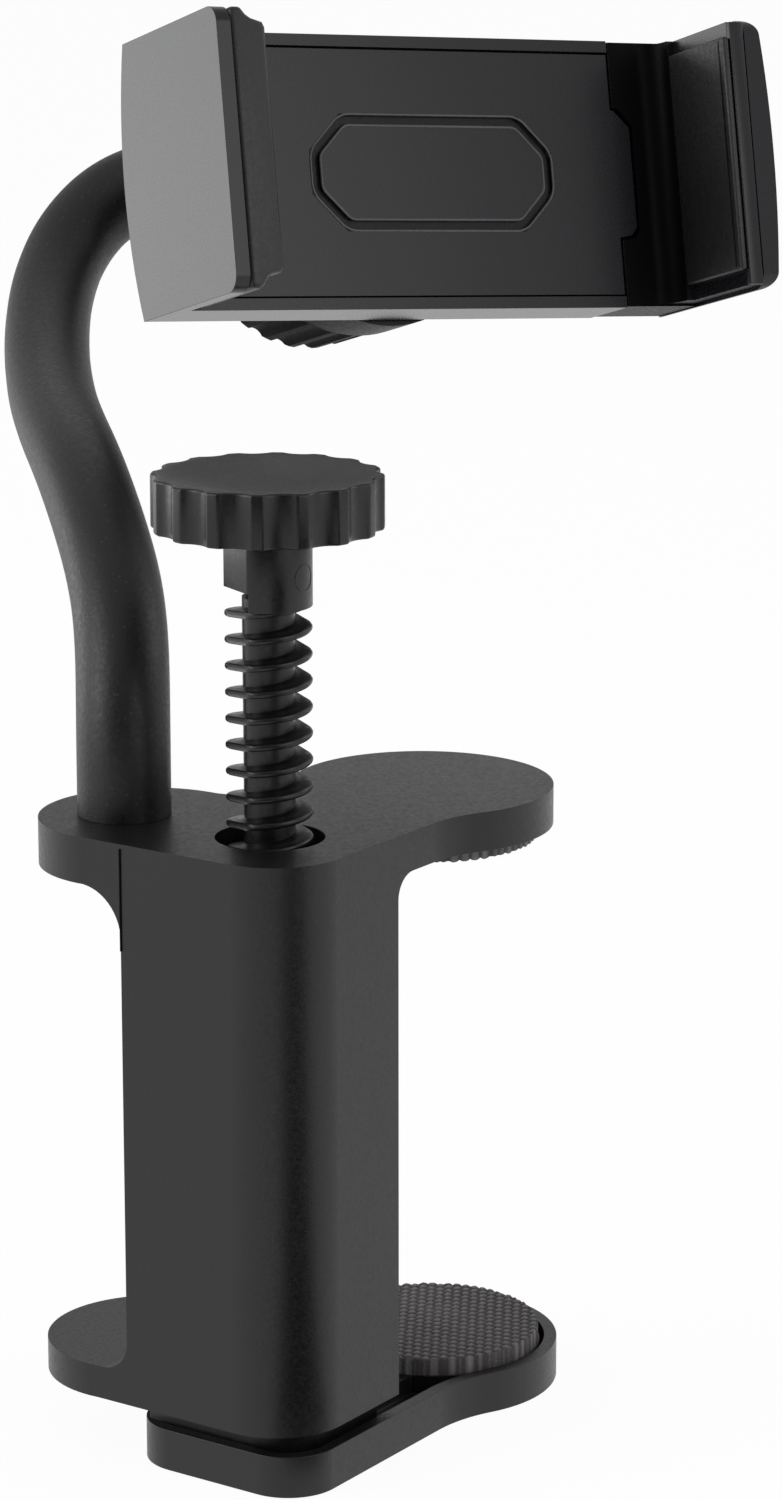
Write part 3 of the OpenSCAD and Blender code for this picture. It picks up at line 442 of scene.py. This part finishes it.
# It is pressed flat in line with the shank's flats, where the mould halves meet
crest_from, crest_lean, least_cosine = 0.0063, 0.25, 0.05
for v in thread.data.vertices:
    reach = math.hypot(v.co.x, v.co.y)
    limit = flat_at / max(least_cosine, abs(math.cos(math.atan2(v.co.y, v.co.x) - flat_dir)))
    limit -= max(0, reach - crest_from) * crest_lean
    if reach > limit:
        v.co.x *= limit / reach
        v.co.y *= limit / reach
bpy.ops.object.mode_set(mode="EDIT")
bpy.ops.mesh.select_all(action="SELECT")
bpy.ops.mesh.fill_holes(sides=0)
bpy.ops.mesh.select_all(action="SELECT")
bpy.ops.mesh.normals_make_consistent(inside=False)
bpy.ops.object.mode_set(mode="OBJECT")

# Core and plain foot, which turns in the top of the stem
foot_r, foot_h, step_r, core_r, core_top = 0.004, 0.0085, 0.0039, 0.0041, 0.14
bpy.ops.object.select_all(action="DESELECT")
bpy.ops.mesh.primitive_cylinder_add(vertices=64, radius=foot_r, depth=foot_h,
                                    location=(0, 0, foot_low + foot_h / 2))
core = bpy.context.object
bpy.ops.object.transform_apply(location=True)
bpy.ops.object.mode_set(mode="EDIT")
bpy.ops.mesh.select_all(action="DESELECT")
bpy.ops.object.mode_set(mode="OBJECT")
for f in core.data.polygons:
    f.select = f.normal.z > 0.9
bpy.ops.object.mode_set(mode="EDIT")
bpy.ops.mesh.inset(thickness=foot_r - step_r)
bpy.ops.mesh.extrude_region_move(TRANSFORM_OT_translate={"value": (0, 0, core_top - foot_low - foot_h)})
bpy.ops.transform.resize(value=(core_r / step_r, core_r / step_r, 1), center_override=(0, 0, core_top))
bpy.ops.object.mode_set(mode="OBJECT")

for o in (shank, mark, thread, core):
    o.select_set(True)
knob.select_set(True)
bpy.context.view_layer.objects.active = knob
bpy.ops.object.join()
bpy.ops.object.shade_smooth_by_angle(angle=math.radians(42))
settle(knob, "clamp_screw", screw_black)

# The dish is painted paler than the rest of the knob: painted light on its top
dish_painted_light = moulded_plastic("dish_painted_light", (0.066, 0.066, 0.069), 0.4, grain=1300, bump=0.12, mottle=0.1,
                             specks=0.2)
second_finish(knob, dish_painted_light,
              lambda f: f.normal.z > 0.9 and f.center.z > knob_top - dish_deep - dish_rim)

# Hidden hardware
# The thread nut and the ball's seat ring are moulded from pale plastic. The screws, washers,
# ferrules, the jaw's spring and the neck's wound core are steel. All keep their CAD shapes.
def plain_finish(node, material):
    """Gives a CAD solid that keeps its own shape its material."""
    frame["nodes"][node].data.materials.clear()
    frame["nodes"][node].data.materials.append(material)


pale_plastic = moulded_plastic("pale_plastic", (0.55, 0.55, 0.52), 0.45, grain=900, bump=0.1, mottle=0.05)
zinc = moulded_plastic("zinc", (0.55, 0.55, 0.56), 0.3, grain=700, bump=0.1, mottle=0.1)
zinc.node_tree.nodes["Principled BSDF"].inputs["Metallic"].default_value = 1
for node in ("thread_nut", "seat_ring"):
    plain_finish(node, pale_plastic)
for node in ("nut_screws", "retainer_washer", "retainer_screw", "neck_base_ferrule", "neck_base_washer",
             "neck_base_screw", "neck_core", "neck_top_ferrule", "case_screws", "cover_screws", "jaw_spring"):
    plain_finish(node, zinc)

# Neck
# A smooth black rubber sleeve over the bendable core. It stands on the lug and runs in a long
# double curve behind the holder to the ball's shank.
neck_black = moulded_plastic("neck_black", (0.0045, 0.0045, 0.005), 0.46, grain=1300, bump=0.3, mottle=0.2,
                             specks=0.9, speck_size=700, gloss=0.45)
# The holder's own directions: along it, up it and out of its face
across = Vector((0.898126, -0.434171, -0.069757))
over = Vector((0.181723, 0.222000, 0.957963))
out = Vector((-0.400428, -0.873041, 0.278312))
ball = Vector((0.098055, 0.058480, 0.181910))
shank_lean, shank_reach = math.radians(22), 0.022
shank_way = over * math.sin(shank_lean) - out * math.cos(shank_lean)
neck_foot, neck_end = Vector((-0.0013, 0.0276, 0.10175)), ball + shank_way * shank_reach
# The bends between the straight ends, in millimetres
rise, run_in = Vector((0, 0, 0.0163)), shank_way * 0.008
bends = ((7.8, 34.5, 133.5), (18.7, 47.7, 143.7), (33.3, 64, 150.7), (51.7, 83.4, 153.7),
         (73.2, 102.1, 162.1), (91.1, 112.7, 172.9), (101.7, 108.8, 183.6), (110.3, 97.8, 186.7))
route = [neck_foot] * 3 + [neck_foot + rise] + [Vector(p) / 1000 for p in bends]
route += [neck_end + run_in] + [neck_end] * 3
neck_r, neck_wall, taper = 0.0075, 0.0012, 0.013
bpy.ops.object.select_all(action="DESELECT")
bpy.ops.curve.primitive_nurbs_path_add()
neck = bpy.context.object
neck.name = "neck_skin"
spline = neck.data.splines[0]
spline.points.add(len(route) - len(spline.points))
for n, (point, place) in enumerate(zip(spline.points, route)):
    point.co = (*place, 1)
    point.radius = 1 - taper * n / len(route)
spline.order_u = 4
spline.use_endpoint_u = False
neck.data.dimensions = "3D"
neck.data.resolution_u = 12
neck.data.bevel_depth = neck_r
neck.data.bevel_resolution = 14
bpy.ops.object.convert(target="MESH")
bpy.ops.object.mode_set(mode="EDIT")
bpy.ops.mesh.select_all(action="SELECT")
bpy.ops.mesh.remove_doubles(threshold=0.00001)
bpy.ops.mesh.normals_make_consistent(inside=False)
bpy.ops.object.mode_set(mode="OBJECT")
wall = neck.modifiers.new("wall", "SOLIDIFY")
wall.thickness = neck_wall
wall.offset = -1
bpy.ops.object.modifier_apply(modifier="wall")
bpy.ops.object.shade_smooth_by_angle(angle=math.radians(40))
settle(neck, "neck_sleeve", neck_black)

# Ball joint
# The black ball sits in its seat ring; a ribbed nut on the holder's threaded boss grips it.
# Ball and nut are moulded from black nylon; the nut's copy of it is darker and nearly glossless, as painted
# shade beneath the holder.
nut_painted_shade = moulded_plastic("nut_painted_shade", (0.0018, 0.0018, 0.002), 0.5, bump=0.1, gloss=0.04)
nut_edge = 0.00045
plain_finish("ball_stud", clamp_black)
rounded_moulding("ball_nut", nut_painted_shade, lambda p: nut_edge)

# Holder's rear shell
# The rear half of the phone holder, with the fixed jaw's outer wall and the joint's collar.
# It is moulded from satin black plastic; the jaw wall's outer edges are well rounded.
holder_black = moulded_plastic("holder_black", (0.0065, 0.0068, 0.0088), 0.27, grain=2600, bump=0.006,
                               mottle=0.06, gloss=0.43, wear=0.02)
holder_place = Matrix((across, over, out)).transposed().to_4x4()
holder_place.translation = Vector((0.0421, 0.0548, 0.1725))
to_holder = holder_place.inverted()
outside_x, wall_x, jaw_n, wall_n, collar_n = 0.0004, 0.003, 0.012, 0.011, -0.0035
jaw_edge, outside_edge, wall_edge, case_edge = 0.0013, 0.0012, 0.001, 0.0005


def shell_radius(p):
    """The jaw's outer edges are rounded most, and those of the case least."""
    q = to_holder @ p
    if q.x < outside_x:
        return jaw_edge if q.z > jaw_n else outside_edge
    if q.x < wall_x and q.z > wall_n:
        return wall_edge
    return case_edge


case = rounded_moulding("holder_back", holder_black, shell_radius)
# The collar and the sliding jaw's foot get a darker, nearly glossless copy of the case's plastic: painted
# shade on the collar and in the jaw's hollow corner
painted_shade_black = moulded_plastic("painted_shade_black", (0.002, 0.002, 0.0023), 0.4, bump=0.1, gloss=0.05)
second_finish(case, painted_shade_black, lambda f: (to_holder @ f.center).z < collar_n)

# Holder's front cover
# The flat panel that closes the case, let in between the shell's edges, with an eight-sided
# groove on its face. Four hidden screws hold it from behind.
panel_edge, groove_floor, groove_top, groove_area = 0.00022, 0.008, 0.0097, 0.0004
cover = rounded_moulding("holder_front", holder_black, lambda p: panel_edge, 2, 30)
# The groove's faces take a darker, less glossy copy of the case's plastic: painted shade in the groove
groove_painted_shade = moulded_plastic("groove_painted_shade", (0.005, 0.005, 0.0055), 0.4, bump=0.1, gloss=0.28)
second_finish(cover, groove_painted_shade,
              lambda f: f.area < groove_area and groove_floor < (to_holder @ f.center).z < groove_top)

# The groove's two edges stand up as fine rounded lips, painted pale as painted highlights
lip_painted_highlight = moulded_plastic("lip_painted_highlight", (0.075, 0.075, 0.08), 0.3, bump=0.05)
holder_h, panel_n = 0.0464, 0.01
field_x, field_l, field_h, field_corner = 0.051, 0.0472, 0.0197, 0.0062


def groove_lip(name, inset, thick, soft):
    """A thin rounded lip along the eight-sided outline, inset from the groove's outer edge."""
    corner_loss = 0.59
    a, b, c = field_l / 2 - inset, field_h / 2 - inset, field_corner - corner_loss * inset
    outline = ((-a, -b + c), (-a + c, -b), (a - c, -b), (a, -b + c),
               (a, b - c), (a - c, b), (-a + c, b), (-a, b - c))
    bpy.ops.object.select_all(action="DESELECT")
    bpy.ops.mesh.primitive_circle_add(vertices=8, radius=0.01)
    lip = bpy.context.object
    lip.name = name
    for v, (x, y) in zip(lip.data.vertices, outline):
        v.co = (field_x + x, holder_h / 2 + y, panel_n)
    bpy.ops.object.mode_set(mode="EDIT")
    bpy.ops.mesh.select_all(action="SELECT")
    bpy.ops.mesh.bevel(offset=soft, segments=4, affect="VERTICES")
    bpy.ops.object.mode_set(mode="OBJECT")
    bpy.ops.object.convert(target="CURVE")
    lip.data.bevel_depth = thick
    lip.data.bevel_resolution = 3
    bpy.ops.object.convert(target="MESH")
    lip.data.transform(holder_place)
    bpy.ops.object.shade_smooth_by_angle(angle=math.radians(60))
    settle(lip, "holder_front", lip_painted_highlight, replace=False)


groove_lip("field_outer_lip", 0, 0.0002, 0.0016)
groove_lip("field_inner_lip", 0.0019, 0.00022, 0.0008)

# The hidden guide plate behind the cover has the finish of the case
plain_finish("guide_plate", holder_black)

# Fixed jaw's soft pad
# A soft rubber lining inside the fixed jaw. Its root follows the wall from end to end, and a
# thicker lip with rounded corners stands on it and grips the phone.
jaw_soft = moulded_plastic("jaw_soft", (0.011, 0.011, 0.012), 0.45, bump=0.2)
body_d, jaw_d = 0.0103, 0.0318
lining_low, lining_top, lining_edge = body_d - 0.0002, jaw_d - 0.0001, 0.0009

# Its outline seen from the front, in millimetres
profile = ((2.65, 0.5), (4.6, 0.4), (5.3, 0.9), (6.1, 2.2), (6.9, 2.7), (8.6, 3.0), (9.1, 3.7), (9.1, 42.8),
           (8.7, 43.7), (6.6, 44.3), (5.7, 44.9), (4.9, 45.9), (4.4, 46.1), (2.65, 46.1))
bpy.ops.object.select_all(action="DESELECT")
bpy.ops.mesh.primitive_circle_add(vertices=len(profile), radius=0.01, fill_type="NGON")
lining = bpy.context.object
lining.name = "fixed_jaw_lining"
for v, (x, y) in zip(lining.data.vertices, profile):
    v.co = (x / 1000, y / 1000, lining_low)
bpy.ops.object.mode_set(mode="EDIT")
bpy.ops.mesh.select_all(action="SELECT")
bpy.ops.mesh.extrude_region_move(TRANSFORM_OT_translate={"value": (0, 0, lining_top - lining_low)})
bpy.ops.mesh.select_all(action="SELECT")
bpy.ops.mesh.normals_make_consistent(inside=False)
bpy.ops.object.mode_set(mode="OBJECT")
round_edges(lining, lining_edge, 4, 60)
lining.data.transform(holder_place)
bpy.ops.object.shade_smooth_by_angle(angle=math.radians(40))
settle(lining, "fixed_jaw_pad", jaw_soft)

# Sliding jaw
# The base and the inner frame of the sliding jaw, with the two rails that run in the case.
# They are one moulding in the case's satin plastic, and a hollow corner joins base and wall.
slide_face, slide_edge, joint_edge = 0.0973, 0.0005, 0.0001
joint_x, foot_x, foot_top, foot_past = slide_face + 0.003, 0.0895, 0.0146, 0.0002
slide = rounded_moulding("slide_jaw", holder_black,
                         lambda p: joint_edge if (to_holder @ p).x > joint_x else slide_edge)


def at_foot(f):
    """Whether a face belongs to the base or to the hollow corner."""
    q = to_holder @ f.center
    return foot_x < q.x < slide_face + foot_past and q.z < foot_top


# The base and the hollow corner take the darker copy, as painted shade
second_finish(slide, painted_shade_black, at_foot)


def rounded_block(corner, size, radius, segments):
    """A block in the holder's own frame with rounded edges."""
    bpy.ops.object.select_all(action="DESELECT")
    bpy.ops.mesh.primitive_cube_add(size=1)
    block = bpy.context.object
    block.data.transform(Matrix.Translation(Vector(corner) + Vector(size) / 2) @ Matrix.Diagonal((*size, 1)))
    round_edges(block, radius, segments, 30)
    return block


# The frame's tip reaches out as far as the cover's edge, beside the pad
pad_t, pad_gap = 0.0014, 0.00005
tip_end, tip_t, tip_h, tip_low, tip_edge = 0.0007, 0.00275, 0.00295, jaw_d - 0.003, 0.0002
tip = rounded_block((slide_face + pad_t + pad_gap, tip_end, tip_low), (tip_t, holder_h - 2 * tip_end, tip_h),
                    tip_edge, 3)
tip.name = "slide_jaw_tip"
tip.data.transform(holder_place)
bpy.ops.object.shade_smooth_by_angle(angle=math.radians(40))
settle(tip, "slide_jaw", holder_black, replace=False)

# Sliding jaw's soft pad
# A thin panel of the same soft rubber, let into the frame. A narrow bead runs along its tip and
# is nearly level with the tip of the frame.
pad_end, pad_low, bead_low, bead_h = 0.0032, body_d + 0.004, jaw_d - 0.0026, 0.0024
panel_r, bead_r, panel_short = 0.0004, 0.0006, 0.0011
pad_wide, pad_long = pad_t - pad_gap, holder_h - 2 * pad_end
panel = rounded_block((slide_face, pad_end, pad_low), (pad_wide, pad_long, jaw_d - pad_low - panel_short),
                      panel_r, 3)
bead = rounded_block((slide_face, pad_end, bead_low), (pad_wide, pad_long, bead_h), bead_r, 4)
panel.select_set(True)
bead.select_set(True)
bpy.context.view_layer.objects.active = panel
bpy.ops.object.join()
panel.name = "slide_jaw_lining"
panel.data.transform(holder_place)
bpy.ops.object.shade_smooth_by_angle(angle=math.radians(40))
settle(panel, "slide_jaw_pad", jaw_soft)

# Sliding jaw's outer cover
# A bulged shell of the same satin plastic that closes the jaw's outer side. Two hidden screws
# hold it; its outer edges are well rounded, and those that meet the frame are crisp.
bulge_x, bulge_edge, meeting_edge = 0.1036, 0.0016, 0.00012


def cover_radius(p):
    """The edges of the bulge are rounded widely, and those along the frame finely."""
    return bulge_edge if (to_holder @ p).x > bulge_x else meeting_edge


rounded_moulding("slide_jaw_cover", holder_black, cover_radius, 4)

# Floor and light
# A plain white floor and a soft studio, as in a small tent of white cloth: large lamps all
# round, a near one in front of the holder, and a dimmer surround in the reflections.
bpy.ops.object.select_all(action="DESELECT")
bpy.ops.mesh.primitive_plane_add(size=8, location=(0, 0, -0.0002))
floor = bpy.context.object
floor.name = "floor"
white = bpy.data.materials.new("floor_white")
white.use_nodes = True
tree = white.node_tree
cloth = tree.nodes["Principled BSDF"]
cloth.inputs["Base Color"].default_value = (1, 1, 1, 1)
cloth.inputs["Roughness"].default_value = 0.9
glow = tree.nodes.new("ShaderNodeEmission")
glow.inputs["Strength"].default_value = 1
path = tree.nodes.new("ShaderNodeLightPath")
seen = tree.nodes.new("ShaderNodeMath")
seen.operation = "MAXIMUM"
share = tree.nodes.new("ShaderNodeMath")
share.operation = "MULTIPLY"
share.inputs[1].default_value = 0.95
both = tree.nodes.new("ShaderNodeMixShader")
tree.links.new(path.outputs["Is Camera Ray"], seen.inputs[0])
tree.links.new(path.outputs["Is Glossy Ray"], seen.inputs[1])
tree.links.new(seen.outputs[0], share.inputs[0])
tree.links.new(share.outputs[0], both.inputs["Fac"])
tree.links.new(cloth.outputs[0], both.inputs[1])
tree.links.new(glow.outputs[0], both.inputs[2])
tree.links.new(both.outputs[0], tree.nodes["Material Output"].inputs["Surface"])
floor.data.materials.append(white)

world = bpy.data.worlds.new("studio")
bpy.context.scene.world = world
world.use_nodes = True
tree = world.node_tree
back = tree.nodes["Background"]
back.inputs["Color"].default_value = (1, 1, 1, 1)
path = tree.nodes.new("ShaderNodeLightPath")
seen = tree.nodes.new("ShaderNodeMath")
seen.operation = "MAXIMUM"
tree.links.new(path.outputs["Is Camera Ray"], seen.inputs[0])
tree.links.new(path.outputs["Is Transmission Ray"], seen.inputs[1])
level = tree.nodes.new("ShaderNodeMapRange")
level.inputs["To Min"].default_value = 0.55
level.inputs["To Max"].default_value = 1
tree.links.new(seen.outputs[0], level.inputs["Value"])
tree.links.new(level.outputs["Result"], back.inputs["Strength"])

# A black cloth lies on the floor beside the camera, out of the picture. It shows only in the
# reflections, as the dark band down the column's round corner, the screw and the neck.
cloth_way, cloth_near, cloth_far = math.radians(-116), 0.03, 0.75
cloth_half, cloth_spread, cloth_z = 0.014, math.tan(math.radians(15)), 0.001
bpy.ops.mesh.primitive_plane_add(size=1)
dark = bpy.context.object
dark.name = "black_cloth"
for v in dark.data.vertices:
    along = cloth_near if v.co.x < 0 else cloth_far
    v.co = (along, math.copysign(cloth_half + along * cloth_spread, v.co.y), cloth_z)
dark.data.transform(Matrix.Rotation(cloth_way, 4, "Z"))
dark.visible_camera = dark.visible_diffuse = dark.visible_shadow = False
felt = bpy.data.materials.new("black_felt")
felt.use_nodes = True
felt.node_tree.nodes["Principled BSDF"].inputs["Base Color"].default_value = (0.002, 0.002, 0.002, 1)
felt.node_tree.nodes["Principled BSDF"].inputs["Specular IOR Level"].default_value = 0
dark.data.materials.append(felt)

# The camera's side of the studio is dark too
bpy.ops.object.select_all(action="DESELECT")
bpy.ops.mesh.primitive_cylinder_add(vertices=96, radius=0.7, depth=0.55, end_fill_type="NOTHING")
shade = bpy.context.object
shade.name = "dark_side"
shade_from, shade_to = math.radians(-176), math.radians(-124)
bpy.ops.object.mode_set(mode="EDIT")
bpy.ops.mesh.select_all(action="DESELECT")
bpy.ops.object.mode_set(mode="OBJECT")
for f in shade.data.polygons:
    f.select = not shade_from < math.atan2(f.center.y, f.center.x) < shade_to
bpy.ops.object.mode_set(mode="EDIT")
bpy.ops.mesh.delete(type="FACE")
bpy.ops.object.mode_set(mode="OBJECT")
shade.data.transform(Matrix.Translation((0.05, 0.03, 0.33)))
shade.visible_camera = shade.visible_diffuse = shade.visible_shadow = False
shade.data.materials.append(felt)

# Lamps: name, what it aims at, its direction round that point, height above it, distance, power, size
holder_middle = holder_place @ Vector((0.045, 0.023, body_d))
clamp_middle = Vector((0.03, 0.03, 0.12))
lamps = (("key", clamp_middle, 145, 0.48, 1.1, 6.6, 0.8),
         ("side", clamp_middle, 325, 0.53, 1.2, 1.6, 0.6),
         ("low_left", clamp_middle, 98, 0, 0.95, 2.7, 0.6),
         ("front", holder_middle, -101, 0.14, 0.5, 0.47, 0.32),
         ("back", clamp_middle, 35, 0.85, 1.2, 0.5, 0.8))
for name, aim, azimuth, height, far, power, size in lamps:
    away = Vector((far * math.cos(math.radians(azimuth)), far * math.sin(math.radians(azimuth)), height))
    bpy.ops.object.light_add(type="AREA", location=aim + away)
    lamp = bpy.context.object
    lamp.name = name
    lamp.data.energy = power
    lamp.data.size = size
    lamp.rotation_euler = (-away).to_track_quat("-Z", "Y").to_euler()

bpy.context.scene.view_settings.view_transform = "Standard"
